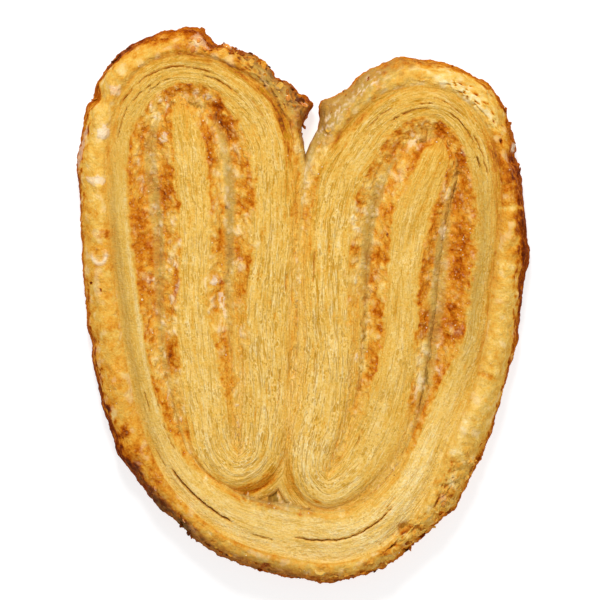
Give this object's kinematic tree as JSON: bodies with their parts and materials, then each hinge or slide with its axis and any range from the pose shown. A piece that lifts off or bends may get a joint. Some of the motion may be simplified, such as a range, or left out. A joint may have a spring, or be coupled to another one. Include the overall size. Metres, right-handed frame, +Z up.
{
  "type": "palmier pastry",
  "caption": "Two-lobed puff pastry slice: one folded strip coiled in from both ends, with a puffed browned rim, pale layered cut faces and sugared grooves.",
  "frame": {"origin": "middle of the bounding box, on the plane that the pastry rests on", "axes": "+Z up off the tray, +Y towards the two lobes, +X to the right seen from above"},
  "size_m": [0.1065, 0.1309, 0.0141],
  "materials": {
    "baked_dough": "dry layered crumb with caramelised sugar on the grooves and the rim"
  },
  "bodies": {
    "root": {"palmier": "baked_dough"}
  },
  "joints": []
}
